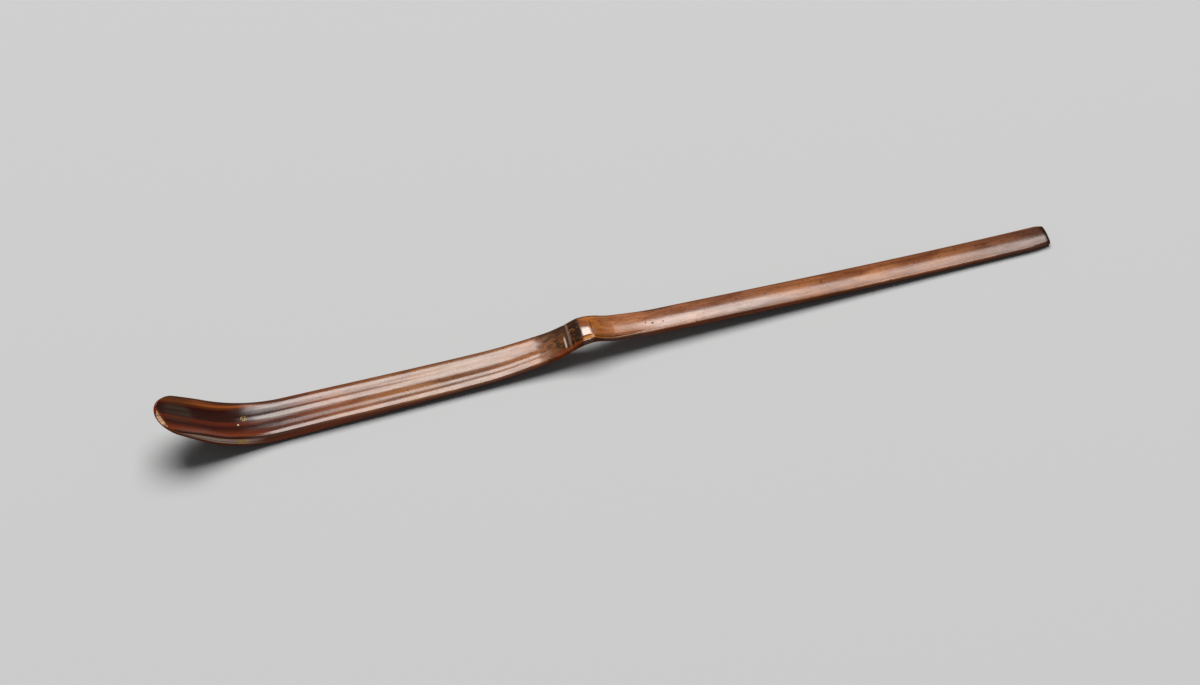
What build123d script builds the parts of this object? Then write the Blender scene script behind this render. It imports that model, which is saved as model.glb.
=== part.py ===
from build123d import *

import os
from bisect import bisect_right
from dataclasses import dataclass
from math import cos, radians, sin

# A chashaku, the scoop for powdered tea: one strip of bamboo, heat-bent up at the tip, with one node near
# its middle, carved on every side and coated with lacquer. Sizes are in millimetres and angles in degrees.
# +X runs along the scoop to the cut end of the handle, +Y across it and +Z up from the table that the scoop
# lies on. The origin is on the table, under the middle of the scoop's box.

# Lengths along the scoop
HANDLE_LENGTH = 98.3  # crest of the node to the cut end
STEM_LENGTH = 62.5  # start of the bend to the crest of the node
BEND_RADIUS = 27.0  # back of the bend
BEND_ANGLE = 38.0
BOWL_LENGTH = 11.25  # end of the bend to the tip
FOOT_LENGTH = 22.0  # foot of the rise to the crest of the node
WAIST_LENGTH = 9.0  # steepest part of the rise to the crest of the node
NECK_LENGTH = 5.0  # crest of the node to the hollow behind it
SHOULDER_LENGTH = 15.0  # crest of the node to the straight handle

# Widths across the rims
BOWL_WIDTH = 9.3
BEND_WIDTH = 8.5
FOOT_WIDTH = 7.5
WAIST_WIDTH = 6.65
NODE_WIDTH = 5.9
NECK_WIDTH = 5.8
SHOULDER_WIDTH = 5.55
END_WIDTH = 5.3
TIP_FLARE = -0.13  # how far each side spreads below its rim
BOWL_FLARE = 0.4
BEND_FLARE = 0.15

# Heights of the back above the table
FOOT_RISE = 0.85
WAIST_RISE = 2.55
NODE_RISE = 5.05
NECK_RISE = 3.95
SHOULDER_RISE = 2.8

# Depths from the back to the rims
TIP_DEPTH = 1.3
BOWL_DEPTH = 2.5
BEND_DEPTH = 3.1
FOOT_DEPTH = 2.15
WAIST_DEPTH = 2.05
NODE_DEPTH = 2.6
NECK_DEPTH = 2.2
SHOULDER_DEPTH = 1.95
END_DEPTH = 1.8

# How far the rounded back hangs below the sides, and how far it is thinned at the tip
TIP_LIFT = 0.35
TIP_BELLY = 0.6
BEND_BELLY = 0.8
FOOT_BELLY = 1.0
WAIST_BELLY = 0.65
NODE_BELLY = 0.9
END_BELLY = 0.75

# The face: a rounded handle, a stem with one furrow and a fine groove on either side of it, and a hollow bowl
HANDLE_CROWN = 0.45
NODE_CROWN = 0.4
BOWL_HOLLOW = 0.85
TIP_HOLLOW = 0.18
FAR_GROOVE_PLACE = 0.3  # places across the face, from the far rim at 0 to the near rim at 1
FAR_RIDGE_PLACE = 0.34
FURROW_PLACE = 0.5
NEAR_RIDGE_PLACE = 0.66
NEAR_GROOVE_PLACE = 0.8
FAR_GROOVE_DEPTH = 0.25  # depths below the rims
FAR_RIDGE_DEPTH = 0.2
FURROW_DEPTH = 0.42
NEAR_RIDGE_DEPTH = 0.24
NEAR_GROOVE_DEPTH = 0.3
WAIST_FLUTING = 0.5  # share of these depths that is left on the rise to the node
STEM_BEVEL = 0.35  # of the rims
EDGE_BEVEL = 0.15

# The scar of the leaf sheath, a fine notch across the face on the tip's side of the node
SCAR_DISTANCE = 4.8
SCAR_WIDTH = 0.5
SCAR_DEPTH = 0.2

# Ends, wear and coat
END_CHAMFER = 0.6  # length of the trimmed corners
END_TRIM = 0.35  # how far each corner is trimmed across
REST_WEAR = 0.25  # how deep the back is rubbed flat where it rests on the table
CHIP_BITE = 1.1  # how far the chip in the tip goes in from the rim
CHIP_TURN = 19.0  # from the tip towards the near side
CHIP_TILT = 42.0
COAT = 0.13

# Derived places
BEND_TURN = radians(BEND_ANGLE)
BEND_ARC = BEND_RADIUS * BEND_TURN
LENGTH = HANDLE_LENGTH + STEM_LENGTH + BEND_RADIUS * sin(BEND_TURN) + BOWL_LENGTH * cos(BEND_TURN)
BEND_X = LENGTH / 2 - HANDLE_LENGTH - STEM_LENGTH
TIP_AT = -BEND_ARC - BOWL_LENGTH  # places along the back, from 0 at the start of the bend
TIP_CENTRE = TIP_AT + BOWL_WIDTH / 2
END_AT = STEM_LENGTH + HANDLE_LENGTH
TIP_SPARE = 0.5  # what the loft has past the tip, to be carved off
CLEAR = 2 * BOWL_WIDTH  # reach of a cutting tool past the strip


@dataclass
class Section:
    """The shape of the strip at one place along its back."""

    at: float
    rise: float
    width: float
    depth: float
    belly: float
    lift: float = 0.0
    flare: float = 0.0
    crown: float = 0.0
    fluting: float = 0.0
    bevel: float = EDGE_BEVEL


STATIONS = [
    Section(TIP_AT, 0, BOWL_WIDTH, TIP_DEPTH, TIP_BELLY, TIP_LIFT, TIP_FLARE, -TIP_HOLLOW),
    Section(-BEND_ARC, 0, BOWL_WIDTH, BOWL_DEPTH, BEND_BELLY, 0, BOWL_FLARE, -BOWL_HOLLOW),
    Section(0, 0, BEND_WIDTH, BEND_DEPTH, BEND_BELLY, flare=BEND_FLARE, fluting=1, bevel=STEM_BEVEL),
    Section(STEM_LENGTH - FOOT_LENGTH, FOOT_RISE, FOOT_WIDTH, FOOT_DEPTH, FOOT_BELLY,
            fluting=1, bevel=STEM_BEVEL),
    Section(STEM_LENGTH - WAIST_LENGTH, WAIST_RISE, WAIST_WIDTH, WAIST_DEPTH, WAIST_BELLY,
            fluting=WAIST_FLUTING, bevel=STEM_BEVEL),
    Section(STEM_LENGTH, NODE_RISE, NODE_WIDTH, NODE_DEPTH, NODE_BELLY, crown=NODE_CROWN),
    Section(STEM_LENGTH + NECK_LENGTH, NECK_RISE, NECK_WIDTH, NECK_DEPTH, NODE_BELLY, crown=HANDLE_CROWN),
    Section(STEM_LENGTH + SHOULDER_LENGTH, SHOULDER_RISE, SHOULDER_WIDTH, SHOULDER_DEPTH, NODE_BELLY,
            crown=HANDLE_CROWN),
    Section(END_AT, 0, END_WIDTH, END_DEPTH, END_BELLY, crown=HANDLE_CROWN),
]

# How finely the loft follows these stations
NODE_GAP = 1.8  # between the loft's sections next to the node
HANDLE_STEPS = 14
STEM_STEPS = 12
BOWL_STEPS = 7
BACK_STRIPS = 4  # faces across the rounded back


def smooth(at, places, values):
    """A monotone cubic through values at places, level at the last and carried on straight past the first."""
    spans = [b - a for a, b in zip(places, places[1:])]
    rates = [(b - a) / span for a, b, span in zip(values, values[1:], spans)]
    slopes = [rates[0]] + [2 * a * b / (a + b) if a * b > 0 else 0 for a, b in zip(rates, rates[1:])] + [0]
    if at < places[0]:
        return values[0] + slopes[0] * (at - places[0])
    i = min(bisect_right(places, at), len(spans)) - 1
    t = (at - places[i]) / spans[i]
    rise = values[i + 1] - values[i]
    start, end = slopes[i] * spans[i], slopes[i + 1] * spans[i]
    return values[i] + t * (start + t * (3 * rise - 2 * start - end + t * (start + end - 2 * rise)))


def section_at(at):
    """The strip's section at any place along its back."""
    places = [station.at for station in STATIONS]
    fields = ["rise", "width", "depth", "belly", "lift", "flare", "crown", "fluting", "bevel"]
    columns = [[getattr(station, name) for station in STATIONS] for name in fields]
    return Section(at, *[smooth(at, places, values) for values in columns])


def plane_at(at):
    """The plane across the strip at a place along its back: X across, Y up, Z to the cut end."""
    turn = min(max(-at / BEND_RADIUS, 0), BEND_TURN)
    straight = at if at > 0 else min(at + BEND_ARC, 0)
    x = BEND_X - BEND_RADIUS * sin(turn) + straight * cos(turn)
    z = BEND_RADIUS * (1 - cos(turn)) - straight * sin(turn) + section_at(at).rise - REST_WEAR
    return Plane((x, 0, z), x_dir=(0, 1, 0), z_dir=(cos(turn), 0, -sin(turn)))


def face_curves(section, inset):
    """The curves across the face, from the far rim to the near one, through the furrow and its grooves."""
    half = section.width / 2 - inset - section.bevel
    depths = [
        (0, 0),
        (FAR_GROOVE_PLACE, FAR_GROOVE_DEPTH),
        (FAR_RIDGE_PLACE, FAR_RIDGE_DEPTH),
        (FURROW_PLACE, FURROW_DEPTH),
        (NEAR_RIDGE_PLACE, NEAR_RIDGE_DEPTH),
        (NEAR_GROOVE_PLACE, NEAR_GROOVE_DEPTH),
        (1, 0),
    ]
    curves = []
    for (place, depth), (next_place, next_depth) in zip(depths, depths[1:]):
        run = (next_place - place) / 3
        ends = [(place, depth, run), (next_place, next_depth, -run)]
        points = []
        for here, down, reach in ends:
            up = section.depth - inset - section.fluting * down + 4 * section.crown * here * (1 - here)
            lean = 4 * section.crown * (1 - 2 * here)
            points.append([(half * (1 - 2 * q), up + lean * (q - here)) for q in (here, here + reach)])
        curves.append(Bezier(points[0][0], points[0][1], points[1][1], points[1][0]))
    return curves


def outline(at, inset, trim=0):
    """The closed outline of the strip at a place along its back, inset all round and trimmed at its sides."""
    section = section_at(at)
    section.width -= 2 * trim
    half = section.width / 2 - inset
    rim = section.depth - inset
    low_half = section.width / 2 + section.flare
    low_edge = low_half - inset
    low = section.belly * (low_edge / low_half) ** 2 + section.lift + inset
    far_side, near_side = (half, rim - section.bevel), (-half, rim - section.bevel)
    far_rim, near_rim = (half - section.bevel, rim), (section.bevel - half, rim)
    edges = face_curves(section, inset)
    edges.append(Line(near_rim, near_side))
    edges.append(Line(near_side, (-low_edge, low)))
    places = [low_edge * (2 * i / BACK_STRIPS - 1) for i in range(BACK_STRIPS + 1)]
    for a, b in zip(places, places[1:]):
        points = [(a, a * a), ((a + b) / 2, a * b), (b, b * b)]
        heights = [section.belly * square / low_half**2 + section.lift + inset for _, square in points]
        edges.append(Bezier(*[(across, height) for (across, _), height in zip(points, heights)]))
    edges.append(Line((low_edge, low), far_side))
    edges.append(Line(far_side, far_rim))
    return Wire(edges)


def spread(start, end, steps, first_gap):
    """Places from start to end, with a first gap and gaps that grow evenly after it."""
    growth = (end - start - steps * first_gap) / (steps * (steps - 1))
    return [start + first_gap * i + growth * i * (i - 1) for i in range(steps + 1)]


def strip(inset):
    """The carved strip, inset all round and square at its tip: a loft and a trimmed cut end."""
    blunt = TIP_AT - TIP_SPARE
    places = [blunt * i / BOWL_STEPS for i in range(BOWL_STEPS, 0, -1)]
    places += spread(STEM_LENGTH, 0, STEM_STEPS, -NODE_GAP)[::-1]
    places += spread(STEM_LENGTH, END_AT - END_CHAMFER, HANDLE_STEPS, NODE_GAP)[1:]
    sections = [plane_at(at) * outline(at, inset) for at in places]
    cut_end = [sections[-1], plane_at(END_AT - inset) * outline(END_AT, inset, END_TRIM)]
    return Solid.make_loft(sections) + Solid.make_loft(cut_end, ruled=True)


def tip_plane():
    """The plane of the bowl's back under the middle of the half-round tip: X to the tip, Z up."""
    across = plane_at(TIP_CENTRE)
    return Plane(across.origin, x_dir=-across.z_dir, z_dir=across.y_dir)


def tip_waste(inset):
    """What is carved off the end of the bowl to leave a half-round tip with sloping sides."""
    section = section_at(TIP_CENTRE)
    radius = section.width / 2 + section.flare - inset
    low = section.lift + section.belly
    lean = section.flare / (section.depth - section.bevel - low)
    top = BOWL_WIDTH
    profile = Polyline(
        (0, -top),
        (radius, -top),
        (radius, low),
        (radius - lean * (top - low), top),
        (0, top),
        close=True,
    )
    tip = revolve(Plane.XZ * make_face(profile), Axis.Z)
    ahead = Pos(CLEAR, 0, 0) * Box(2 * CLEAR, 2 * CLEAR, 2 * top)
    return tip_plane() * (ahead - tip)


def tip_chip():
    """The flake that is missing from the near side of the tip's rim."""
    flake = Box(CLEAR, CLEAR, CLEAR, align=(Align.MIN, Align.CENTER, Align.CENTER))
    reach = BOWL_WIDTH / 2 - CHIP_BITE
    leaning = Pos(reach, 0, TIP_DEPTH) * (Rot(0, -CHIP_TILT, 0) * flake)
    return tip_plane() * (Rot(0, 0, CHIP_TURN) * leaning)


def sheath_scar(inset):
    """The notch left by the leaf sheath, cut straight across the face and its rims."""
    at = STEM_LENGTH - SCAR_DISTANCE
    place = plane_at(at).origin
    floor = place.Z + section_at(at).depth - SCAR_DEPTH - inset
    notch = Box(SCAR_WIDTH + 2 * inset, CLEAR, CLEAR, align=(Align.CENTER, Align.CENTER, Align.MIN))
    return Pos(place.X, 0, floor) * notch


def scoop(inset):
    """The whole scoop, inset all round, lying on the two spots of its back that the table has worn flat."""
    below = Box(2 * LENGTH, CLEAR, CLEAR, align=(Align.CENTER, Align.CENTER, Align.MAX))
    return strip(inset) - tip_waste(inset) - sheath_scar(inset) - tip_chip() - below


bamboo_body = scoop(COAT)
lacquer_coat = scoop(0) - bamboo_body

os.makedirs("parts", exist_ok=True)
export_step(bamboo_body, "parts/bamboo_body.step")
export_step(lacquer_coat, "parts/lacquer_coat.step")
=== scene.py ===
"""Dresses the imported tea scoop: one carved strip of bamboo under a coat of lacquer, lying on a pale floor.

Sizes of the scoop are in millimetres until a mesh is made. +X runs along the scoop to the cut end of the
handle, +Y across it to the far side, and +Z up from the floor.
"""

from __future__ import annotations

import logging
from dataclasses import dataclass, field
from enum import Enum
from math import cos, pi, radians, sin, tan

import bmesh
import bpy
import numpy as np
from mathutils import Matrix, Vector

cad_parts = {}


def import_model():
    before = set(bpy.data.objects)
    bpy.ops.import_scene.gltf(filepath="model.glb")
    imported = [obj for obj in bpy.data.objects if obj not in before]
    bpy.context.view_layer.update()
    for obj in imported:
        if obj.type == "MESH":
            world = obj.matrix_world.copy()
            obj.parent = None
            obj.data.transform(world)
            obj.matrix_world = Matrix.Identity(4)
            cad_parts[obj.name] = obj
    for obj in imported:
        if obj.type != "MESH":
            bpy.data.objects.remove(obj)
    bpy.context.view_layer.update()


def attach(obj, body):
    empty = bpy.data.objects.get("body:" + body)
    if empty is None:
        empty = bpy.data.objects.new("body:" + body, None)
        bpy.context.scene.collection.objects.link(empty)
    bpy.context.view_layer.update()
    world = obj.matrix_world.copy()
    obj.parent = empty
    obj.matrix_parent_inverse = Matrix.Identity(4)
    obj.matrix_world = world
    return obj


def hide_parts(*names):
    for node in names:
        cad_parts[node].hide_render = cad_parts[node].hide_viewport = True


LOG = logging.getLogger("tea_scoop")
MM = 0.001
Colour = tuple[float, float, float]
Point = tuple[float, float, float]
Stops = tuple[tuple[float, float], ...]
Tints = tuple[tuple[float, Colour], ...]
Socket = bpy.types.NodeSocket
Value = Socket | float
WHITE: Colour = (255, 255, 255)


class Node(Enum):
    """The CAD nodes that the dressed pieces stand for."""

    BODY = "bamboo_body"
    COAT = "lacquer_coat"


class Slot(Enum):
    """The record's material slots."""

    BAMBOO = "bamboo"
    LACQUER = "lacquer"


class Blend(Enum):
    """Ways to mix two colours."""

    MIX = "MIX"
    MULTIPLY = "MULTIPLY"


def linear(colour: Colour) -> tuple[float, float, float, float]:
    """Turns a display colour into the one that a shader takes.

    Args:
        colour: Red, green and blue of the display colour, each up to 255.

    Returns:
        The linear colour, with an alpha of 1.
    """
    parts = [value / 255 for value in colour]
    return (*[part / 12.92 if part < 0.04045 else ((part + 0.055) / 1.055) ** 2.4 for part in parts], 1.0)


def grow(value: np.ndarray, start: np.ndarray | float, length: float) -> np.ndarray:
    """Rises straight from 0 at a start to 1 at a length past it."""
    return np.clip((value - start) / length, 0, 1)


@dataclass(frozen=True)
class Station:
    """The scoop's section at one place along its back, from 0 at the start of the bend."""

    at: float
    rise: float
    width: float
    depth: float
    belly: float
    lift: float = 0.0
    flare: float = 0.0
    crown: float = 0.0
    fluting: float = 0.0
    rounding: float = 0.15


@dataclass(frozen=True)
class StripForm:
    """The carved form of the strip, with the sizes of the CAD model and the finer carving on its face.

    Flutes are depths by their place across the face, from the far rim at 0 to the near rim at 1. The node's
    profile is heights by their distance past its crest. The brow and the facet start, and begin to fall off,
    at distances past the crest too.
    """

    handle: float = 98.3
    stem: float = 62.5
    bend_radius: float = 27.0
    bend_turn: float = radians(38.0)
    bowl: float = 11.25
    foot_length: float = 22.0
    waist_length: float = 9.0
    neck_length: float = 5.0
    shoulder_length: float = 15.0
    bowl_width: float = 9.3
    tip_depth: float = 1.3
    rest_wear: float = 0.25
    stem_rounding: float = 0.35
    handle_rounding: float = 0.25
    low_rounding: float = 0.12
    coat: float = 0.13
    chip_bite: float = 1.05
    chip_turn: float = radians(17.5)
    chip_tilt: float = radians(56.0)
    bend_flutes: Stops = (
        (0.0, 0.02), (0.09, -0.12), (0.12, -0.11), (0.2, -0.03), (0.32, -0.015), (0.37, -0.055),
        (0.395, -0.05), (0.5, 0.08), (0.57, 0.085), (0.7, -0.03), (0.82, -0.02), (0.915, -0.11),
        (0.935, -0.11), (1.0, -0.02))
    foot_flutes: Stops = (
        (0.0, 0.04), (0.08, -0.07), (0.1, -0.07), (0.3, 0.12), (0.34, 0.15), (0.52, 0.28), (0.68, 0.13),
        (0.8, 0.19), (0.845, 0.18), (0.88, 0.19), (1.0, 0.3))
    node_profile: Stops = (
        (-9.0, 0.0), (-6.0, -0.12), (-4.4, -0.22), (-1.9, 0.12), (-1.4, 0.01), (-0.95, -0.05), (-0.6, -0.07),
        (0.2, -0.18), (1.2, -0.22), (2.5, -0.22), (5.0, -0.17), (20.0, 0.0))
    node_softness: float = 0.22
    node_blurs: int = 5
    scar_distance: float = 4.8
    scar_skew: float = 0.065
    scar_depth: float = 0.1
    scar_width: float = 0.16
    lip_offset: float = -0.33
    lip_height: float = 0.055
    lip_width: float = 0.15
    swell_offset: float = 0.42
    swell_height: float = 0.07
    swell_width: float = 0.2
    brow_share: float = 0.91
    brow_drop: float = 0.3
    brow_start: float = 0.4
    brow_rise: float = 1.2
    brow_end: float = 5.0
    brow_fall: float = 6.0
    facet_share: float = 0.86
    facet_drop: float = 0.32
    facet_start: float = -9.0
    facet_rise: float = 3.0
    facet_end: float = -0.6
    facet_fall: float = 0.8
    end_near_trim: float = 0.5
    end_near_length: float = 5.0
    end_far_trim: float = 0.6
    end_far_length: float = 2.0
    end_bevel: float = 0.06
    end_bevel_share: float = 0.07
    end_bevel_length: float = 4.5
    end_rounding: float = 0.4
    end_twist: float = 0.16
    twist_start: float = 45.0
    twist_length: float = 45.0

    @property
    def end_at(self) -> float:
        """Place of the cut end."""
        return self.stem + self.handle

    @property
    def tip_at(self) -> float:
        """Place of the tip."""
        return -self.bend_radius * self.bend_turn - self.bowl

    @property
    def tip_centre(self) -> float:
        """Place of the middle of the half-round tip."""
        return self.tip_at + self.bowl_width / 2

    @property
    def bend_x(self) -> float:
        """Where the bend starts along X."""
        reach = self.bend_radius * sin(self.bend_turn) + self.bowl * cos(self.bend_turn)
        return (reach - self.stem - self.handle) / 2

    @property
    def stations(self) -> list[Station]:
        """The sections that the strip is carved to.

        Returns:
            The sections, from the tip to the cut end.
        """
        tip = {"lift": 0.35, "flare": -0.13, "crown": -0.18}
        fluted = {"fluting": 1.0, "rounding": self.stem_rounding}
        waist = {"fluting": 0.5, "rounding": self.stem_rounding}
        crest = {"crown": 0.42, "rounding": 0.3}
        neck = {"crown": 0.48, "rounding": self.handle_rounding}
        shoulder = {"crown": 0.5, "rounding": self.handle_rounding}
        end = {"crown": 0.45, "rounding": self.handle_rounding}
        return [
            Station(self.tip_at, 0, self.bowl_width, self.tip_depth, 0.6, **tip),
            Station(self.tip_at + self.bowl, 0, self.bowl_width, 2.5, 0.8, flare=0.39, crown=-0.85),
            Station(0, 0, 8.5, 3.1, 0.8, flare=0.15, **fluted),
            Station(self.stem - self.foot_length, 0.85, 7.5, 2.15, 1.0, **fluted),
            Station(self.stem - self.waist_length, 2.55, 6.65, 2.05, 0.65, **waist),
            Station(self.stem, 5.05, 5.9, 2.6, 0.9, **crest),
            Station(self.stem + self.neck_length, 3.95, 5.8, 2.2, 0.62, **neck),
            Station(self.stem + self.shoulder_length, 2.8, 5.55, 1.95, 0.55, **shoulder),
            Station(self.end_at, 0, 5.3, 1.8, 0.98, **end),
        ]

    @staticmethod
    def curve(places: np.ndarray, values: np.ndarray, at: np.ndarray) -> np.ndarray:
        """Draws a monotone cubic through values, level at the last and carried on straight past the first.

        Args:
            places: Where the values are, in rising order.
            values: The values to pass through.
            at: Places to read the curve at.

        Returns:
            The curve's value at each place.
        """
        spans = np.diff(places)
        rates = np.diff(values) / spans
        same = rates[:-1] * rates[1:] > 0
        total = np.where(same, rates[:-1] + rates[1:], 1.0)
        inner = np.where(same, 2 * rates[:-1] * rates[1:] / total, 0.0)
        slopes = np.concatenate([rates[:1], inner, [0.0]])
        i = np.clip(np.searchsorted(places, at, side="right") - 1, 0, len(spans) - 1)
        t = (at - places[i]) / spans[i]
        rise = values[i + 1] - values[i]
        start, end = slopes[i] * spans[i], slopes[i + 1] * spans[i]
        inside = values[i] + t * (start + t * (3 * rise - 2 * start - end + t * (start + end - 2 * rise)))
        return np.where(at < places[0], values[0] + slopes[0] * (at - places[0]), inside)

    def value(self, name: str, at: np.ndarray) -> np.ndarray:
        """Reads one size of the section at any places, from a curve through the stations.

        Args:
            name: The size's field on a station.
            at: Places along the back.

        Returns:
            The size at each place.
        """
        places = np.array([station.at for station in self.stations])
        values = np.array([getattr(station, name) for station in self.stations], float)
        return self.curve(places, values, at)

    def place(self, at: np.ndarray, across: np.ndarray, height: np.ndarray) -> np.ndarray:
        """Finds points of the strip in the part's frame.

        Args:
            at: Places along the back.
            across: Distances to the far side.
            height: Heights above the back.

        Returns:
            The points, with their coordinates on a last axis.
        """
        turn = np.clip(-at / self.bend_radius, 0, self.bend_turn)
        straight = np.where(at > 0, at, np.minimum(at + self.bend_radius * self.bend_turn, 0))
        x = self.bend_x - self.bend_radius * np.sin(turn) + straight * np.cos(turn)
        z = self.bend_radius * (1 - np.cos(turn)) - straight * np.sin(turn)
        z = z + self.value("rise", at) - self.rest_wear
        return np.stack([x + height * np.sin(turn), across, z + height * np.cos(turn)], axis=-1)

    def flutes(self, at: np.ndarray, share: np.ndarray) -> np.ndarray:
        """Measures how deep the furrow and its grooves are cut below the rims.

        Args:
            at: Places along the back.
            share: Places across the face, from the far rim at 0 to the near rim at 1.

        Returns:
            The depth at each place.
        """
        bend = self.curve(*np.array(self.bend_flutes).T, share)
        foot = self.curve(*np.array(self.foot_flutes).T, share)
        along = grow(at, 0.0, self.stem - self.foot_length)
        return np.maximum(self.value("fluting", at), 0) * (bend + (foot - bend) * along)

    def node_relief(self, at: np.ndarray, across: np.ndarray, share: np.ndarray) -> np.ndarray:
        """Gives the node's fine relief: the sheath's scar, the flat-topped ridge, the brow and the facet.

        Args:
            at: Places along the back.
            across: Distances to the far side.
            share: Places across the face, from the far rim at 0 to the near rim at 1.

        Returns:
            The height that the relief adds to the face.
        """
        past = at - self.stem
        places, heights = np.array(self.node_profile).T
        offsets = self.node_softness * np.linspace(-1, 1, self.node_blurs)
        ridge = sum(np.interp(past + offset, places, heights) for offset in offsets) / self.node_blurs
        scar = past + self.scar_distance - self.scar_skew * across
        cut = -self.scar_depth * np.exp(-((scar / self.scar_width) ** 2))
        lip = self.lip_height * np.exp(-(((scar - self.lip_offset) / self.lip_width) ** 2))
        lip = lip * np.clip(2 * share, 0, 1)
        swell = self.swell_height * np.exp(-(((scar - self.swell_offset) / self.swell_width) ** 2))
        behind = grow(past, self.brow_start, self.brow_rise) * (1 - grow(past, self.brow_end, self.brow_fall))
        brow = -self.brow_drop * behind * grow(share, self.brow_share, 1 - self.brow_share)
        before = grow(past, self.facet_start, self.facet_rise)
        before = before * (1 - grow(past, self.facet_end, self.facet_fall))
        facet = -self.facet_drop * before * grow(share, self.facet_share, 1 - self.facet_share)
        return ridge + cut + lip + swell + brow + facet

    def face(self, at: np.ndarray, across: np.ndarray, edge: np.ndarray, inset: float) -> np.ndarray:
        """Gives the height of the carved face above the back.

        Args:
            at: Places along the back.
            across: Distances to the far side.
            edge: Distances in from the outline's edge.
            inset: Depth below the lacquer's skin.

        Returns:
            The height at each place.
        """
        rounding = self.value("rounding", at)
        half = self.value("width", at) / 2 - inset - rounding
        share = np.clip((1 - across / half) / 2, 0, 1)
        crown = self.value("crown", at)
        bulge = crown * (1 - np.abs(2 * share - 1) ** np.where(crown < 0, 3, 2))
        near = np.clip(rounding - edge, 0, rounding)
        drop = rounding - np.sqrt(rounding**2 - near**2)
        twist = self.end_twist * grow(at, self.stem + self.twist_start, self.twist_length) * (share - 0.5)
        top = self.value("depth", at) - inset + bulge - self.flutes(at, share) + twist
        past = grow(at, self.end_at - self.end_rounding, self.end_rounding)
        end = self.end_rounding * (1 - np.sqrt(1 - past**2))
        corner = self.end_bevel_share * grow(at, self.end_at - self.end_bevel_length, self.end_bevel_length)
        bevel = self.end_bevel * grow(share, 1 - corner, self.end_bevel_share)
        return top + self.node_relief(at, across, share) - drop - end - bevel

    def back(self, at: np.ndarray, across: np.ndarray, edge: np.ndarray, inset: float) -> np.ndarray:
        """Gives the height of the rounded back above its own lowest line.

        Args:
            at: Places along the back.
            across: Distances to the far side.
            edge: Distances in from the outline's edge.
            inset: Depth below the lacquer's skin.

        Returns:
            The height at each place.
        """
        low_half = self.value("width", at) / 2 + self.value("flare", at)
        near = np.clip(self.low_rounding - edge, 0, self.low_rounding)
        lift = self.low_rounding - np.sqrt(self.low_rounding**2 - near**2)
        return self.value("belly", at) * (across / low_half) ** 2 + self.value("lift", at) + inset + lift

    def end_trim(self, at: np.ndarray, side: np.ndarray) -> np.ndarray:
        """Measures how far the corners of the cut end are trimmed across.

        Args:
            at: Places along the back.
            side: Places across the strip, from -1 on the near side to 1 on the far side.

        Returns:
            How far each point moves in.
        """
        far = grow(at, self.end_at - self.end_far_length, self.end_far_length)
        near = grow(at, self.end_at - self.end_near_length, self.end_near_length)
        trim = np.where(side > 0, self.end_far_trim * far**2, self.end_near_trim * near**2)
        return -side * trim

    def chip_plane(self) -> tuple[Vector, Vector]:
        """Finds the plane of the chip in the tip's rim.

        Returns:
            A point on the plane, in metres, and the direction that points out of the scoop.
        """
        turn = self.bend_turn
        ahead, up = Vector((-cos(turn), 0, sin(turn))), Vector((sin(turn), 0, cos(turn)))
        out = ahead * cos(self.chip_turn) + Vector((0, -1, 0)) * sin(self.chip_turn)
        origin = Vector(self.place(np.array(self.tip_centre), np.array(0.0), np.array(0.0)))
        point = origin + out * (self.bowl_width / 2 - self.chip_bite) + up * self.tip_depth
        return point * MM, out * cos(self.chip_tilt) + up * sin(self.chip_tilt)


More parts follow.
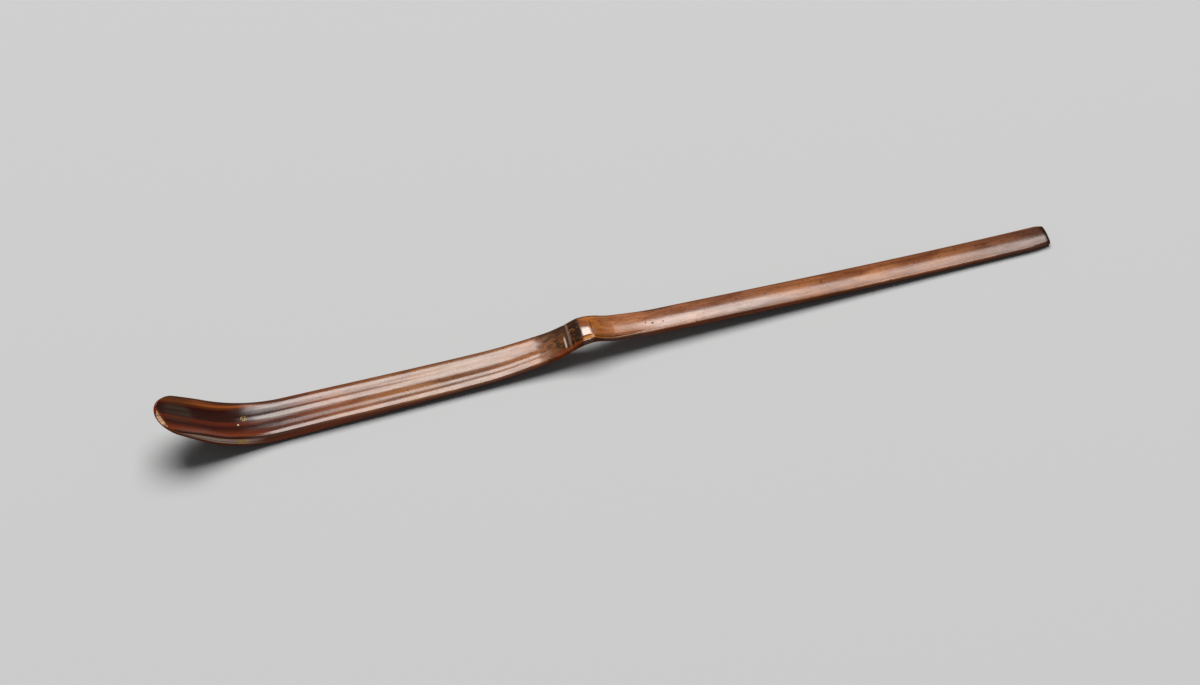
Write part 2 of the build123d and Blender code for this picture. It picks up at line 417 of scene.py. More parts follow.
@dataclass
class Skin:
    """A closed skin over the whole strip, made of a face, a back, side walls and an end, all on one grid.

    The spacings are multiples of the gap between rows, and even is how evenly the columns are spaced.
    """

    form: StripForm
    inset: float
    gap: float
    columns: int
    walls: int = 6
    even: float = 0.45
    tip_length: float = 4.0
    least_tip_rows: int = 8
    before_node: float = 14.0
    past_node: float = 8.0
    stem_spacing: float = 3.0
    node_spacing: float = 1.0
    handle_spacing: float = 3.6
    end_spacing: float = 0.4
    points: np.ndarray = field(init=False)
    edges: np.ndarray = field(init=False)
    quads: list[tuple[int, int, int, int]] = field(init=False)

    def __post_init__(self) -> None:
        """Lays out the grid."""
        face, edges = self.sheet(low=False)
        back, _ = self.sheet(low=True)
        i, j = np.array(self.boundary(*face.shape[:2])).T
        shares = np.arange(1, self.walls) / self.walls
        steps = shares[:, None, None]
        wall = face[i, j] + (back[i, j] - face[i, j]) * steps
        end = face[-1, 1:-1] + (back[-1, 1:-1] - face[-1, 1:-1]) * steps
        sheets = [face, back, wall, end]
        counts = [sheet.size // 3 for sheet in sheets]
        numbers = np.split(np.arange(sum(counts)), np.cumsum(counts)[:-1])
        face_ids, back_ids, wall_ids, end_ids = (
            ids.reshape(sheet.shape[:2]) for ids, sheet in zip(numbers, sheets))
        self.points = np.concatenate([sheet.reshape(-1, 3) for sheet in sheets])
        down = -np.repeat(shares, wall.shape[1])
        self.edges = np.concatenate([edges.ravel(), -np.ones(back_ids.size), down, -np.ones(end_ids.size)])
        side = np.vstack([face_ids[i, j], wall_ids, back_ids[i, j]])
        middle = np.vstack([face_ids[-1, 1:-1], end_ids, back_ids[-1, 1:-1]])
        cap = np.hstack([side[:, -1:], middle, side[:, :1]])
        grids = (face_ids, back_ids[:, ::-1], side, cap)
        self.quads = [cell for grid in grids for cell in self.cells(grid)]

    @staticmethod
    def cells(ids: np.ndarray) -> list[tuple[int, int, int, int]]:
        """Lists the four corners of each cell of a grid of point numbers."""
        corners = [ids[:-1, :-1], ids[:-1, 1:], ids[1:, 1:], ids[1:, :-1]]
        return [tuple(cell) for cell in np.stack(corners, axis=-1).reshape(-1, 4).tolist()]

    @staticmethod
    def boundary(rows: int, count: int) -> list[tuple[int, int]]:
        """Lists the points of a sheet's outline, from the cut end along the far side, round the tip and back.

        Args:
            rows: How many rows the sheet has.
            count: How many points a row has.

        Returns:
            Each point's row and its place in the row.
        """
        far = [(i, count - 1) for i in range(rows - 1, -1, -1)]
        tip = [(0, j) for j in range(count - 2, 0, -1)]
        return far + tip + [(i, 0) for i in range(rows)]

    def straight_rows(self) -> np.ndarray:
        """Spaces the rows of the strip past its tip, closest at the node and the cut end.

        Returns:
            The rows' places along the back, in rising order.
        """
        form = self.form
        stops = [
            (form.tip_centre, self.stem_spacing),
            (form.stem - self.before_node, self.node_spacing),
            (form.stem + self.past_node, self.handle_spacing),
            (form.end_at - form.end_far_length, self.end_spacing),
        ]
        last = form.end_at - self.inset
        ends = [start for start, _ in stops[1:]] + [last]
        rows = []
        for (start, spacing), end in zip(stops, ends):
            count = max(2, round((end - start) / (spacing * self.gap)))
            rows.append(np.linspace(start, end, count, endpoint=False))
        return np.concatenate([*rows, [last]])

    def sheet(self, low: bool) -> tuple[np.ndarray, np.ndarray]:
        """Lays out the face or the back, with the half-round tip as half a disc of rows.

        Args:
            low: Whether to lay out the back.

        Returns:
            The points, row by row from the tip, and how far each point is from the outline's edge.
        """
        form = self.form
        steps = np.linspace(-1, 1, self.columns + 1)
        sides = self.even * steps + (1 - self.even) * np.sin(pi * steps / 2)
        tip_rows = max(self.least_tip_rows, round(self.tip_length / self.gap))
        turns = np.sin(np.linspace(pi / 2, 0, tip_rows, endpoint=False))[:, None]
        out, ahead = sides * np.sqrt(1 - turns**2 / 2), turns * np.sqrt(1 - sides**2 / 2)
        rows = self.straight_rows()[:, None]
        tip = np.array(form.tip_centre)
        radius = form.bowl_width / 2 - self.inset + (form.value("flare", tip) if low else 0)
        half = form.value("width", rows) / 2 - self.inset + (form.value("flare", rows) if low else 0)
        at = np.vstack([tip - radius * ahead, np.broadcast_to(rows, (len(rows), len(sides)))])
        across = np.vstack([radius * out, half * sides + form.end_trim(rows, sides)])
        edge = np.vstack([radius * (1 - np.minimum(np.hypot(out, ahead), 1)), half * (1 - np.abs(sides))])
        shape = form.back if low else form.face
        return form.place(at, across, shape(at, across, edge, self.inset)), edge


class NodeGraph:
    """A material's node graph, with short calls for the nodes used here.

    A spot is full out to spot_core of its radius, and gone at spot_rim of it.
    """

    spot_core: float = 0.6
    spot_rim: float = 1.1

    def __init__(self, name: str) -> None:
        """Starts a material with a principled shader.

        Args:
            name: The material's name.
        """
        self.material = bpy.data.materials.new(name)
        self.material.use_nodes = True
        self.tree = self.material.node_tree
        self.shader = self.tree.nodes["Principled BSDF"]
        self.coords = self.add("ShaderNodeTexCoord").outputs["Object"]

    def add(self, kind: str, inputs: dict | None = None, **settings: object) -> bpy.types.Node:
        """Adds a node.

        Args:
            kind: The node's type.
            inputs: What each input takes: a value, or another node's output.
            settings: Properties of the node.

        Returns:
            The node.
        """
        node = self.tree.nodes.new(kind)
        for key, value in settings.items():
            setattr(node, key, value)
        for key, value in (inputs or {}).items():
            if isinstance(value, Socket):
                self.tree.links.new(value, node.inputs[key])
            else:
                node.inputs[key].default_value = value
        return node

    def math(self, operation: str, first: Value, second: Value = 0.0) -> Socket:
        """Adds a sum on two values."""
        return self.add("ShaderNodeMath", {0: first, 1: second}, operation=operation).outputs[0]

    def times(self, first: Value, *others: Value) -> Value:
        """Multiplies values.

        Args:
            first: The first value.
            others: What it is multiplied by.

        Returns:
            The product.
        """
        product = first
        for other in others:
            product = self.math("MULTIPLY", product, other)
        return product

    def span(self, value: Socket, start: float, end: float, low: float = 0.0, high: float = 1.0) -> Socket:
        """Maps a value from one range smoothly to another."""
        inputs = {"Value": value, "From Min": start, "From Max": end, "To Min": low, "To Max": high}
        return self.add("ShaderNodeMapRange", inputs, interpolation_type="SMOOTHSTEP").outputs["Result"]

    def fade(self, mask: Socket, level: float) -> Socket:
        """Gives 1 where a mask is 0, and a level where it is 1."""
        return self.span(mask, 0.0, 1.0, 1.0, level)

    def window(self, value: Socket, start: float, end: float, soft: float) -> Socket:
        """Gives 1 between two values, with soft ends."""
        rise = self.span(value, start - soft, start + soft)
        return self.times(rise, self.span(value, end - soft, end + soft, 1.0, 0.0))

    def noise(
        self, stretch: Point, detail: float = 3.0, twist: float = 0.0, at: Socket | None = None
    ) -> Socket:
        """Adds noise on the object's own coordinates.

        Args:
            stretch: How many times it repeats in a metre along each axis.
            detail: How many finer layers it has.
            twist: How much it is distorted.
            at: Other coordinates to take instead.

        Returns:
            The noise, about 0.5 in the middle.
        """
        place = {"Vector": at or self.coords, "Scale": stretch}
        vector = self.add("ShaderNodeMapping", place).outputs["Vector"]
        inputs = {"Vector": vector, "Scale": 1.0, "Detail": detail, "Distortion": twist}
        return self.add("ShaderNodeTexNoise", inputs).outputs["Fac"]

    def ramp(self, value: Socket, stops: Tints) -> Socket:
        """Adds a colour ramp.

        Args:
            value: What the ramp reads, from 0 to 1.
            stops: Each place on the ramp with its display colour.

        Returns:
            The colour.
        """
        node = self.add("ShaderNodeValToRGB", {"Fac": value})
        elements = node.color_ramp.elements
        while len(elements) < len(stops):
            elements.new(1.0)
        for element, (place, colour) in zip(elements, stops):
            element.position = place
            element.color = linear(colour)
        return node.outputs["Color"]

    def scale(self, value: Socket, start: float, end: float, stops: Tints) -> Socket:
        """Adds a colour ramp over a range of its own.

        Args:
            value: What the ramp reads.
            start: Where the ramp starts.
            end: Where it ends.
            stops: Each place on the ramp with its display colour.

        Returns:
            The colour.
        """
        inputs = {"Value": value, "From Min": start, "From Max": end}
        share = self.add("ShaderNodeMapRange", inputs).outputs["Result"]
        return self.ramp(share, tuple(((place - start) / (end - start), tint) for place, tint in stops))

    def mix(self, share: Value, first: object, second: object, blend: Blend = Blend.MIX) -> Socket:
        """Mixes two colours."""
        # The node's colour inputs are numbers 6 and 7, and its colour output is number 2.
        inputs = {0: share, 6: first, 7: second}
        return self.add("ShaderNodeMix", inputs, data_type="RGBA", blend_type=blend.value).outputs[2]

    def spot(self, along: float, across: float, radius: float) -> Socket:
        """Marks a round spot seen from above.

        Args:
            along: Its place along the scoop.
            across: Its place across it.
            radius: Its radius.

        Returns:
            1 on the spot and 0 away from it, with a soft edge.
        """
        flatten = {0: self.coords, 1: (1, 1, 0)}
        flat = self.add("ShaderNodeVectorMath", flatten, operation="MULTIPLY").outputs["Vector"]
        inputs = {0: flat, 1: (along * MM, across * MM, 0)}
        away = self.add("ShaderNodeVectorMath", inputs, operation="DISTANCE").outputs["Value"]
        return self.span(away, self.spot_core * radius * MM, self.spot_rim * radius * MM, 1.0, 0.0)

    def bump(self, height: Socket, strength: float, depth: float) -> Socket:
        """Turns heights into a bump of a depth in millimetres."""
        inputs = {"Strength": strength, "Distance": depth * MM, "Height": height}
        return self.add("ShaderNodeBump", inputs).outputs["Normal"]

    def link(self, **inputs: Socket) -> None:
        """Joins outputs to the shader's inputs, named with underscores for spaces."""
        for key, value in inputs.items():
            self.tree.links.new(value, self.shader.inputs[key.replace("_", " ")])

    def set(self, **inputs: object) -> None:
        """Sets the shader's constant inputs, named with underscores for spaces."""
        for key, value in inputs.items():
            self.shader.inputs[key.replace("_", " ")].default_value = value


class StripGraph(NodeGraph):
    """A node graph that also reads where each point lies on the strip.

    x and y are places along and across the scoop in millimetres. edge is the distance in from the rim in
    millimetres on the face, falls from 0 to -1 down the sides, and is -1 on the back. on_side holds
    coordinates for noise along the sides.
    """

    def __init__(self, name: str) -> None:
        """Starts the material and reads the places.

        Args:
            name: The material's name.
        """
        super().__init__(name)
        parts = self.add("ShaderNodeSeparateXYZ", {"Vector": self.coords})
        along, across = parts.outputs["X"], parts.outputs["Y"]
        self.x = self.times(along, 1 / MM)
        self.y = self.times(across, 1 / MM)
        self.edge = self.add("ShaderNodeAttribute", attribute_name="edge").outputs["Fac"]
        self.on_side = self.add("ShaderNodeCombineXYZ", {"X": along, "Y": self.edge}).outputs["Vector"]


@dataclass
class LacquerFinish:
    """Old glossy red-brown lacquer, dark in the bowl, worn at the rims and stained at the node.

    The names that end in gloss are shares of the full gloss that are left on a part of the scoop. along and
    across_bowl are colours by their place along the scoop and across its bowl, in millimetres.
    """

    form: StripForm
    half_length: float = 93.2
    index: float = 1.5
    gloss: float = 0.9
    side_gloss: float = 0.12
    near_rim_gloss: float = 0.45
    far_rim_gloss: float = 0.3
    stain_gloss: float = 0.18
    bowl_gloss: float = 0.15
    foot_gloss: float = 0.9
    node_gloss: float = 1.22
    handle_gloss: float = 0.64
    wear_gloss: float = 0.86
    line_gloss: float = 0.6
    ridge_gloss: float = 1.4
    arris_gloss: float = 0.25
    end_gloss: float = 0.12
    pit_gloss: float = 0.1
    fibre_bump: float = 0.12
    fibre_depth: float = 0.02
    arris_x: float = -4.9
    arris_y: float = -2.58
    arris_radius: float = 0.7
    tint: Colour = (255, 248, 242)
    side: Colour = (130, 56, 18)
    side_dark: Colour = (62, 32, 18)
    # Colour of the painted shade along the far rim.
    rim: Colour = (112, 64, 36)
    worn: Colour = (150, 96, 66)
    # Colour of the painted reflection in the bowl near the tip.
    tip_reflection: Colour = (60, 50, 41)
    # Colour of the pale grey streaks on the bowl's near side.
    pale_streak: Colour = (206, 182, 164)
    back: Colour = (84, 46, 26)
    stain: Colour = (52, 32, 19)
    fleck: Colour = (158, 98, 48)
    # Colour of the painted sheen on the raised band beside the scar.
    lip: Colour = (134, 106, 88)
    # Colour of the painted highlight on the scar's lip.
    lip_highlight: Colour = (226, 192, 172)
    arris: Colour = (80, 41, 19)
    bevel: Colour = (176, 110, 54)
    # Colour of the painted golden highlight on the ridge's near end.
    ridge_end_highlight: Colour = (226, 150, 72)
    pit: Colour = (58, 34, 22)
    speck: Colour = (206, 160, 90)
    crumb: Colour = (240, 220, 196)
    dust: Colour = (88, 70, 62)
    # Colour of the painted shade along the far rim's edge in the crook.
    far_edge_shade: Colour = (60, 38, 29)
    shade: Colour = (222, 214, 210)
    grain: Colour = (214, 202, 194)
    cloud: Colour = (200, 183, 170)
    pore: Colour = (150, 128, 116)
    along: Tints = (
        (-92.0, (46, 24, 17)),
        (-78.0, (50, 25, 18)),
        (-70.0, (82, 42, 29)),
        (-64.0, (122, 64, 42)),
        (-56.0, (160, 98, 58)),
        (-42.0, (162, 107, 64)),
        (-30.0, (154, 107, 74)),
        (-22.0, (168, 113, 76)),
        (-16.5, (172, 108, 65)),
        (-13.0, (132, 86, 50)),
        (-10.2, (110, 72, 42)),
        (-9.6, (66, 39, 23)),
        (-7.3, (58, 34, 20)),
        (-6.8, (178, 106, 46)),
        (-4.6, (190, 120, 56)),
        (0.0, (194, 126, 80)),
        (8.0, (192, 126, 86)),
        (27.0, (152, 95, 61)),
        (44.0, (190, 123, 74)),
        (61.0, (180, 115, 69)),
        (78.0, (150, 94, 58)),
        (92.15, (98, 60, 43)),
        (92.5, (52, 29, 22)),
    )
    across_bowl: Tints = (
        (-4.5, (60, 26, 14)),
        (-3.9, (118, 54, 24)),
        (-3.2, (106, 45, 20)),
        (-2.6, (86, 36, 17)),
        (-1.6, (46, 20, 14)),
        (-0.6, (98, 40, 24)),
        (0.3, (52, 26, 19)),
        (1.4, (48, 22, 16)),
        (2.8, (48, 18, 12)),
        (3.2, (92, 42, 18)),
        (3.6, (156, 82, 32)),
        (4.0, (124, 68, 40)),
        (4.35, (84, 52, 40)),
    )
    graph: StripGraph = field(init=False)
    colour: Socket = field(init=False)

    def __post_init__(self) -> None:
        """Starts the material with the lacquer's colour along the scoop."""
        self.graph = StripGraph("lacquer")
        self.colour = self.graph.scale(self.graph.x, -self.half_length, self.half_length, self.along)

    def paint(self, tint: Colour, *shares: Value) -> None:
        """Lays a display colour over the lacquer, by the product of its shares."""
        self.colour = self.graph.mix(self.graph.times(*shares), self.colour, linear(tint))

    def build(self) -> bpy.types.Material:
        """Builds the lacquer's material.

        Returns:
            The material.
        """
        graph = self.graph
        stained, pits = self.stained(), self.pits()
        ridge = graph.window(graph.x, -7.0, -5.4, 0.2)
        self.ground()
        self.bowl()
        self.rims()
        self.node(stained)
        self.brow()
        self.marks(pits)
        self.paint(self.back, graph.span(graph.edge, -0.85, -1.0))
        rough = graph.span(graph.noise((300, 1400, 1400), 4.0), 0.3, 0.7, 0.2, 0.3)
        rough = graph.math("ADD", rough, graph.times(stained, 0.25))
        rough = graph.math("SUBTRACT", rough, graph.times(ridge, 0.08))
        level = self.level(stained, ridge, pits)
        fibres = graph.bump(graph.noise((60, 3500, 3500), 2.0), self.fibre_bump, self.fibre_depth)
        graph.set(IOR=self.index, Specular_Tint=linear(self.tint))
        graph.link(Base_Color=self.colour, Roughness=rough, Specular_IOR_Level=level, Normal=fibres)
        return graph.material

    def level(self, stained: Socket, ridge: Socket, pits: Socket) -> Value:
        """Gives how much the lacquer reflects, which is less on rims, stains and worn places.

        Args:
            stained: Where the node is stained.
            ridge: Where the node's flat top is.
            pits: Where the handle's pits are.

        Returns:
            The specular level.
        """
        graph = self.graph
        behind_ridge = graph.window(graph.x, -5.2, -3.0, 0.2)
        wear = graph.noise((70, 2400, 2400), 5.0)
        return graph.times(
            self.gloss,
            graph.span(graph.edge, -0.1, 0.12, self.side_gloss, 1.0),
            graph.fade(self.near_rim(), self.near_rim_gloss),
            graph.fade(self.far_rim(), self.far_rim_gloss),
            graph.fade(stained, self.stain_gloss),
            graph.math("MAXIMUM", self.bend_sheen(), self.bowl_gloss),
            graph.span(graph.x, -36.0, -18.0, 1.0, self.foot_gloss),
            graph.span(graph.x, -9.0, -7.0, 1.0, self.node_gloss),
            graph.span(graph.x, 28.0, 42.0, 1.0, self.handle_gloss),
            graph.span(wear, 0.32, 0.6, self.wear_gloss, 1.0),
            graph.fade(self.stem_line(), self.line_gloss),
            graph.fade(ridge, self.ridge_gloss),
            graph.fade(behind_ridge, self.arris_gloss),
            graph.span(graph.x, 92.2, 92.6, 1.0, self.end_gloss),
            graph.fade(pits, self.pit_gloss),
        )

    def ground(self) -> None:
        """Lets the bamboo's fibres, clouds and pores show through, and shades the handle's far half."""
        graph = self.graph
        grain = graph.ramp(graph.noise((40, 1500, 1500), 4.0), ((0.3, self.grain), (0.7, WHITE)))
        cloud = graph.ramp(graph.noise((120, 360, 360), 5.0, 0.5), ((0.36, self.cloud), (0.6, WHITE)))
        pores = graph.ramp(graph.noise((1300, 2600, 2600), 2.0), ((0.3, self.pore), (0.38, WHITE)))
        for veil in (grain, cloud, pores):
            self.colour = graph.mix(1.0, self.colour, veil, Blend.MULTIPLY)
        far_half = graph.times(graph.window(graph.x, 34.0, 82.0, 6.0), graph.span(graph.y, 0.2, 1.4))
        self.colour = graph.mix(far_half, self.colour, linear(self.shade), Blend.MULTIPLY)

    def bowl(self) -> None:
        """Adds the bowl's red streaks, its orange rims, a painted reflection at the tip and the dark corner
        beside it.
        """
        graph = self.graph
        wander = graph.math("SUBTRACT", graph.noise((14, 1000, 0), 4.0), 0.5)
        across = graph.math("ADD", graph.y, graph.times(wander, 2.2))
        along = graph.math("ADD", graph.x, graph.times(wander, 12.0))
        half = self.form.bowl_width / 2
        streaks = graph.scale(across, -half, half, self.across_bowl)
        self.colour = graph.mix(graph.span(along, -74.5, -66.0, 1.0, 0.0), self.colour, streaks)
        veil = graph.span(graph.noise((60, 900, 0), 3.0), 0.35, 0.6, 0.2, 0.9)
        # Painted reflection: a dark greyish patch near the tip of the bowl.
        self.paint(self.tip_reflection, graph.spot(-88.4, 0.9, 3.0), veil)
        corner = graph.span(graph.x, -82.5, -87.5)
        self.paint(self.stain, corner, graph.span(graph.y, 2.8, 3.4), 0.6)

    def bend_sheen(self) -> Socket:
        """Finds where the sheen is, which starts in the bend, and first along the middle.

        Returns:
            0 in the dull bowl and 1 on the stem.
        """
        graph = self.graph
        along = graph.math("SUBTRACT", graph.x, graph.times(graph.y, 0.3))
        middle = graph.window(graph.y, -0.4, 1.1, 0.4)
        first = graph.times(middle, graph.span(graph.x, -79.7, -76.7, 0.0, 0.6))
        return graph.math("MAXIMUM", graph.span(along, -79.0, -72.2), first)

    def stem_line(self) -> Socket:
        """Gives 1 on the thin dull line that runs along the far half of the stem."""
        graph = self.graph
        return graph.times(graph.window(graph.x, -48.0, -34.0, 5.0), graph.window(graph.y, 1.7, 2.2, 0.3))

    def near_rim(self) -> Socket:
        """Finds the handle's near rim, where the gloss is worn.

        Returns:
            1 along the rim and 0 away from it.
        """
        graph = self.graph
        near = graph.times(graph.span(graph.edge, 0.45, 0.15), graph.span(graph.y, -1.0, -2.0))
        return graph.times(near, graph.window(graph.x, 8.0, 50.0, 6.0))

    def far_rim(self) -> Socket:
        """Gives 1 along the far rim and 0 away from it."""
        graph = self.graph
        return graph.times(graph.span(graph.edge, 0.6, 0.4), graph.span(graph.y, 0.0, 1.0))

    def rims(self) -> None:
        """Darkens the sides, paints shade along the far rim, and adds the wear on the tip's rim
        and the pale grey streaks on the bowl's near side.
        """
        graph = self.graph
        x, y, edge = graph.x, graph.y, graph.edge
        uneven = graph.span(graph.noise((150, 500, 500), 4.0), 0.3, 0.7, 0.6, 1.0)
        # Painted shade: the far rim, which rounds away from the light, is darkened along the stem.
        self.paint(self.rim, self.far_rim(), graph.span(x, -73.0, -66.0), uneven)
        # Painted shade on the far rim's edge in the crook of the bend.
        crook = graph.times(graph.window(x, -82.0, -68.0, 3.0), graph.span(y, 0.0, 1.0))
        self.paint(self.far_edge_shade, graph.span(edge, 0.9, 0.55), crook, 0.85)
        smoky = graph.span(graph.noise((26, 2.5, 0), 4.0, at=graph.on_side), 0.42, 0.62, 0.0, 0.75)
        side = graph.mix(smoky, linear(self.side), linear(self.side_dark))
        self.colour = graph.mix(graph.span(edge, 0.05, -0.1, 0.0, 0.92), self.colour, side)
        bare = graph.times(graph.span(x, -88.5, -91.5), graph.window(edge, -0.12, 0.06, 0.06))
        patchy = graph.span(graph.noise((500, 700, 700), 3.0), 0.4, 0.6, 0.0, 0.8)
        self.paint(self.worn, bare, patchy)
        # Pale grey streaks along the near side of the bowl.
        near = graph.times(graph.span(y, -3.5, -4.0), graph.window(edge, -0.75, -0.1, 0.06))
        streaky = graph.span(graph.noise((50, 7, 0), 4.0, at=graph.on_side), 0.36, 0.6)
        self.paint(self.pale_streak, near, graph.window(x, -88.5, -74.5, 2.5), streaky)

    def stained(self) -> Socket:
        """Finds the stain before the node's ridge, which has a ragged start.

        Returns:
            1 on the stain and 0 away from it.
        """
        graph = self.graph
        ragged = graph.math("SUBTRACT", graph.noise((400, 700, 700), 4.0), 0.5)
        along = graph.math("ADD", graph.x, graph.times(ragged, 6.0))
        return graph.times(graph.span(along, -17.2, -13.4), graph.span(graph.x, -7.6, -6.9, 1.0, 0.0))

    def node(self, stained: Socket) -> None:
        """Adds the mottled stain round the sheath's scar, the scar and the near facet.
        Beside the scar are a painted sheen on the raised band and a painted highlight on the lip's near half.

        Args:
            stained: Where the stain is.
        """
        graph = self.graph
        x, y = graph.x, graph.y
        mottle = graph.span(graph.noise((800, 1200, 1200), 7.0, 0.6), 0.46, 0.6, 0.0, 0.8)
        self.paint(self.stain, stained, mottle)
        flecks = graph.span(graph.noise((800, 1250, 1250), 6.0, 1.4), 0.46, 0.36)
        self.paint(self.fleck, stained, flecks, graph.span(x, -9.6, -9.2, 0.35, 0.7))
        self.paint(self.stain, stained, graph.span(y, 0.8, 2.8, 0.0, 0.6))
        scar = graph.math("SUBTRACT", x, graph.times(y, self.form.scar_skew))
        # Painted sheen: the raised band beside the scar is made paler.
        self.paint(self.lip, graph.window(scar, -9.8, -9.3, 0.12), 0.7)
        self.paint(self.stain, graph.window(scar, -10.25, -9.85, 0.1), 0.85)
        # Painted highlight on the near half of the scar's lip.
        near = graph.times(graph.span(y, 0.6, -0.6), graph.span(y, -2.6, -2.2, 0.0, 0.8))
        self.paint(self.lip_highlight, graph.window(scar, -10.6, -10.3, 0.1), near)
        facet = graph.times(graph.window(x, -13.5, -5.5, 1.2), graph.span(y, -2.2, -2.6))
        self.paint(self.side, facet, 0.75)

    def brow(self) -> None:
        """Draws the ridge's near end with a painted golden highlight,
        and the arris that turns from the ridge to the handle's near edge.
        """
        graph = self.graph
        x, y, edge = graph.x, graph.y, graph.edge
        near = graph.span(y, 0.0, -1.0)
        wall = graph.times(graph.window(x, -8.5, 5.0, 1.5), graph.span(edge, 0.3, 0.12))
        self.paint(self.side_dark, wall, near, 0.75)
        # Painted highlight: a golden band on the ridge's near end.
        highlighted_band = graph.times(graph.window(x, -7.1, -4.8, 0.3), graph.window(edge, 0.3, 0.8, 0.1))
        self.paint(self.ridge_end_highlight, highlighted_band, near)
        ahead = graph.math("MAXIMUM", graph.math("SUBTRACT", self.arris_x + self.arris_radius, x), 0.0)
        aside = graph.math("MAXIMUM", graph.math("SUBTRACT", self.arris_y + self.arris_radius, y), 0.0)
        squares = graph.math("ADD", graph.times(ahead, ahead), graph.times(aside, aside))
        off = graph.math("SUBTRACT", graph.math("SQRT", squares), self.arris_radius)
        fading = graph.times(graph.span(x, -0.5, 4.5, 1.0, 0.0), graph.span(y, 2.2, 0.4))
        under = graph.times(graph.window(off, 0.08, 0.24, 0.08), graph.span(y, -1.8, -2.4))
        self.paint(self.bevel, under, fading)
        self.paint(self.arris, graph.window(off, -0.1, 0.08, 0.07), fading)

    def pits(self) -> Socket:
        """Finds the small pits in the handle's face.

        Returns:
            1 in a pit and 0 away from it.
        """
        graph = self.graph
        pits = 0.0
        for along, across, radius in ((6.3, -0.8, 0.2), (7.7, -1.08, 0.26), (9.9, -1.16, 0.18)):
            pits = graph.math("MAXIMUM", graph.spot(along, across, radius), pits)
        return graph.times(pits, graph.span(graph.edge, -0.95, -0.85))

    def marks(self, pits: Socket) -> None:
        """Adds the stem's dusty patch, the handle's pits and far stain, and the bright specks in the bend.

        Args:
            pits: Where the pits are.
        """
        graph = self.graph
        x, y, edge = graph.x, graph.y, graph.edge
        fine = graph.noise((3000, 3600, 0), 3.0)
        seen = graph.span(edge, -0.95, -0.85)
        dusty = graph.times(graph.window(x, -68.0, -60.5, 2.0), graph.window(y, 0.1, 1.1, 0.3))
        self.paint(self.dust, dusty, graph.span(fine, 0.42, 0.6, 0.0, 0.75))
        far_stain = graph.times(graph.window(x, 6.5, 12.5, 1.2), graph.span(y, 1.3, 2.3))
        self.paint(self.pit, far_stain, graph.span(fine, 0.3, 0.55, 0.2, 0.75))
        self.paint(self.pit, pits)
        gold = graph.times(graph.spot(-75.9, 0.65, 0.75), graph.span(fine, 0.51, 0.58))
        self.paint(self.speck, seen, gold)
        grit = graph.span(graph.noise((2600, 6, 0), 3.0, at=graph.on_side), 0.43, 0.5)
        gold = graph.times(graph.spot(-77.3, -4.7, 1.25), graph.window(edge, -0.76, -0.15, 0.08))
        self.paint(self.speck, gold, grit)
        self.paint(self.crumb, seen, graph.spot(-77.3, -0.76, 0.2))


@dataclass(frozen=True)
class BambooFinish:
    """Bare bamboo, pale tan with fine darker fibres along it."""

    pale: Colour = (206, 166, 122)
    fibre: Colour = (128, 82, 50)
    rough: float = 0.65
    fibre_bump: float = 0.6
    fibre_depth: float = 0.05

    def build(self) -> bpy.types.Material:
        """Builds the bamboo's material.

        Returns:
            The material.
        """
        graph = NodeGraph("bamboo")
        fibres = graph.noise((150, 2600, 2600), 4.0, 0.3)
        colour = graph.ramp(fibres, ((0.36, self.fibre), (0.55, self.pale)))
        graph.set(Roughness=self.rough)
        graph.link(Base_Color=colour, Normal=graph.bump(fibres, self.fibre_bump, self.fibre_depth))
        return graph.material


@dataclass(frozen=True)
class FloorFinish:
    """The plain pale ground under the scoop."""

    colour: Colour = (203, 203, 203)
    rough: float = 0.9

    def build(self) -> bpy.types.Material:
        """Builds the floor's material.

        Returns:
            The material.
        """
        graph = NodeGraph("pale_ground")
        graph.set(Base_Color=linear(self.colour), Roughness=self.rough, Specular_IOR_Level=0.0)
        return graph.material


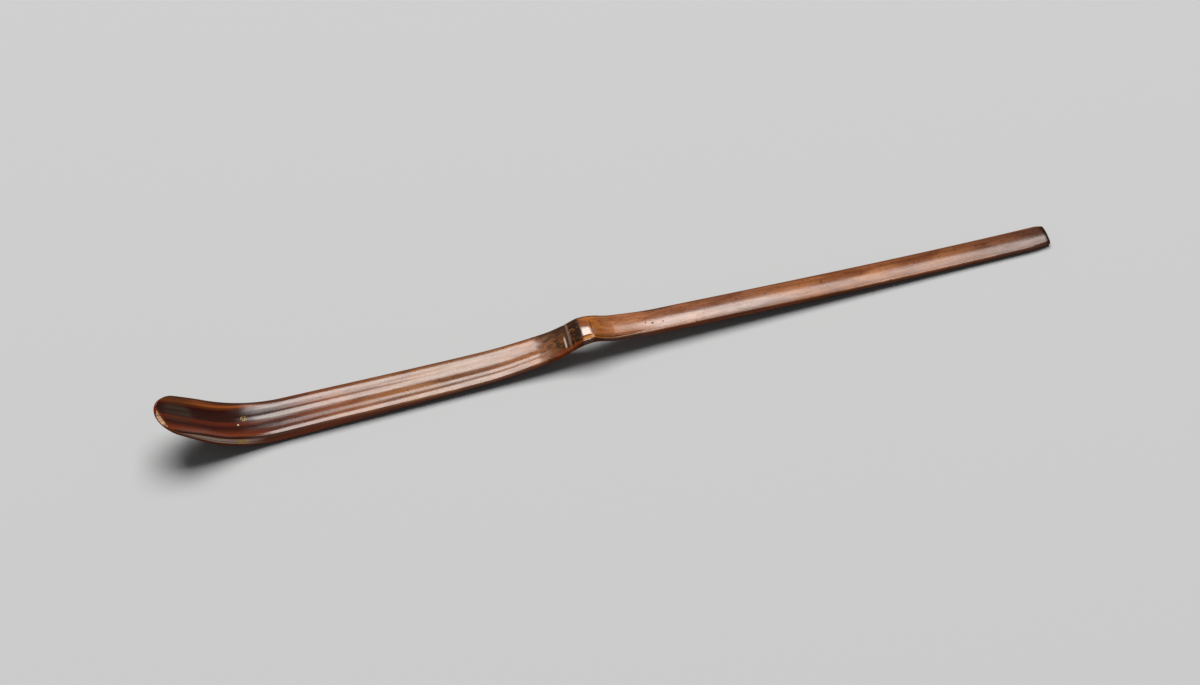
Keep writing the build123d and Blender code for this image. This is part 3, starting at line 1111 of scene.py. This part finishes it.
@dataclass
class ScoopPiece:
    """A piece of the scoop that stands for one CAD node.

    An edge is sharp past the crease's angle. cut_edge is the edge value on a cut, and weld is how near to a
    point, in metres, a cut passes through it.
    """

    form: StripForm
    node: Node
    slot: Slot
    crease: float = radians(38.0)
    cut_edge: float = -0.8
    weld: float = 1e-7

    def __post_init__(self) -> None:
        """Starts an empty shell."""
        self.shell = bmesh.new()
        self.edge = self.shell.verts.layers.float.new("edge")

    def wrap(self, skin: Skin, inward: bool = False) -> None:
        """Adds a closed skin to the piece.

        Args:
            skin: The skin to add.
            inward: Whether its faces look into the piece's hollow.
        """
        verts = [self.shell.verts.new(point) for point in (skin.points * MM).tolist()]
        for vert, edge in zip(verts, skin.edges.tolist()):
            vert[self.edge] = edge
        faces = [self.shell.faces.new([verts[i] for i in quad]) for quad in skin.quads]
        bmesh.ops.recalc_face_normals(self.shell, faces=faces)
        if inward:
            bmesh.ops.reverse_faces(self.shell, faces=faces)

    def cut(self, point: Vector, out: Vector, reach: float = 1.0) -> None:
        """Cuts away what lies past a plane and closes the cut.

        Args:
            point: A point on the plane, in metres.
            out: The direction in which everything goes.
            reach: How far from the point the cut goes, in metres.
        """
        shell = self.shell
        faces = [face for face in shell.faces if all((vert.co - point).length < reach for vert in face.verts)]
        edges = {edge for face in faces for edge in face.edges}
        verts = {vert for face in faces for vert in face.verts}
        plane = {"plane_co": point, "plane_no": out, "dist": self.weld, "clear_outer": True}
        cut = bmesh.ops.bisect_plane(shell, geom=[*verts, *edges, *faces], **plane)["geom_cut"]
        for vert in (part for part in cut if isinstance(part, bmesh.types.BMVert)):
            vert[self.edge] = self.cut_edge
        rim = [part for part in cut if isinstance(part, bmesh.types.BMEdge)]
        bmesh.ops.triangle_fill(shell, use_beauty=True, edges=rim, normal=out)

    def wear(self) -> None:
        """Breaks the chip out of the tip's rim and rubs the back flat where it rests on the floor."""
        self.cut(*self.form.chip_plane(), reach=self.form.bowl * MM)
        self.cut(Vector((0, 0, 0)), Vector((0, 0, -1)))

    def finish(self, material: bpy.types.Material) -> bpy.types.Object:
        """Turns the piece into an object that replaces its CAD node.

        Args:
            material: The piece's material.

        Returns:
            The object.
        """
        for face in self.shell.faces:
            face.smooth = True
        mesh = bpy.data.meshes.new(self.node.value + "_dressed")
        self.shell.to_mesh(mesh)
        self.shell.free()
        mesh.set_sharp_from_angle(angle=self.crease)
        mesh.materials.append(material)
        piece = bpy.data.objects.new(mesh.name, mesh)
        bpy.context.scene.collection.objects.link(piece)
        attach(piece, "root")
        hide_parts(self.node.value)
        return piece


@dataclass
class LacquerCoat(ScoopPiece):
    """The coat of lacquer, a thin closed shell that is broken at the chip and the two worn spots."""

    node: Node = Node.COAT
    slot: Slot = Slot.LACQUER
    skin_gap: float = 0.17
    skin_columns: int = 64
    lining_gap: float = 0.6
    lining_columns: int = 24

    def build(self) -> bpy.types.Object:
        """Builds and dresses the coat.

        Returns:
            The coat's object.
        """
        self.wrap(Skin(self.form, 0.0, self.skin_gap, self.skin_columns))
        self.wrap(Skin(self.form, self.form.coat, self.lining_gap, self.lining_columns), inward=True)
        self.wear()
        return self.finish(LacquerFinish(self.form).build())


@dataclass
class BambooBody(ScoopPiece):
    """The strip of bamboo, bare at the chip and at the two worn spots that it rests on."""

    node: Node = Node.BODY
    slot: Slot = Slot.BAMBOO
    clearance: float = 0.005
    gap: float = 0.5
    columns: int = 32

    def build(self) -> bpy.types.Object:
        """Builds and dresses the strip.

        Returns:
            The strip's object.
        """
        self.wrap(Skin(self.form, self.form.coat + self.clearance, self.gap, self.columns))
        self.wear()
        return self.finish(BambooFinish().build())


@dataclass(frozen=True)
class Studio:
    """A pale floor under one large soft light, high up behind the scoop and longest along it, in metres."""

    floor: float = 8.0
    distance: float = 3.0
    elevation: float = radians(73.5)
    heading: float = radians(78.0)
    half_length: float = radians(22.0)
    half_height: float = radians(17.0)
    power: float = 102.6
    tint: Colour = (1.0, 0.992, 0.988)
    fill: Colour = (0.078, 0.086, 0.088)

    def build(self) -> None:
        """Builds the floor, the light and the fill."""
        bpy.ops.mesh.primitive_plane_add(size=self.floor)
        ground = bpy.context.object
        ground.name = "ground"
        ground.data.materials.append(FloorFinish().build())
        level = cos(self.elevation)
        away = Vector((cos(self.heading) * level, sin(self.heading) * level, sin(self.elevation)))
        lamp = bpy.data.lights.new("soft_light", "AREA")
        lamp.shape = "RECTANGLE"
        lamp.size = 2 * self.distance * tan(self.half_length)
        lamp.size_y = 2 * self.distance * tan(self.half_height)
        lamp.energy = self.power
        lamp.color = self.tint
        light = bpy.data.objects.new("soft_light", lamp)
        light.location = away * self.distance
        light.rotation_euler = away.to_track_quat("Z", "Y").to_euler()
        bpy.context.scene.collection.objects.link(light)
        world = bpy.data.worlds.new("fill")
        world.use_nodes = True
        world.node_tree.nodes["Background"].inputs["Color"].default_value = (*self.fill, 1.0)
        bpy.context.scene.world = world
        bpy.context.scene.view_settings.view_transform = "Standard"


@dataclass(frozen=True)
class PhotoCamera:
    """A camera that stands where the photograph was taken from, in millimetres."""

    place: Point = (-123.99, -393.34, 528.03)
    target: Point = (-2.66, 0.96, 0.0)
    lens: float = 100.0
    sensor: float = 36.0

    def build(self) -> None:
        """Builds the camera and makes it the scene's."""
        lens = bpy.data.cameras.new("photo_camera")
        lens.lens = self.lens
        lens.sensor_fit = "HORIZONTAL"
        lens.sensor_width = self.sensor
        camera = bpy.data.objects.new("photo_camera", lens)
        place, target = Vector(self.place) * MM, Vector(self.target) * MM
        camera.location = place
        camera.rotation_euler = (place - target).to_track_quat("Z", "Y").to_euler()
        bpy.context.scene.collection.objects.link(camera)
        bpy.context.scene.camera = camera


def main() -> None:
    """Builds the scoop's pieces, the studio and the camera in order."""
    logging.basicConfig(level=logging.INFO, format="%(message)s")
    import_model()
    form = StripForm()
    for piece in (BambooBody(form), LacquerCoat(form)):
        dressed = piece.build()
        LOG.info("built %s with %d faces", dressed.name, len(dressed.data.polygons))
    Studio().build()
    LOG.info("built the studio")
    PhotoCamera().build()
    LOG.info("built the camera")


if __name__ == "__main__":
    main()
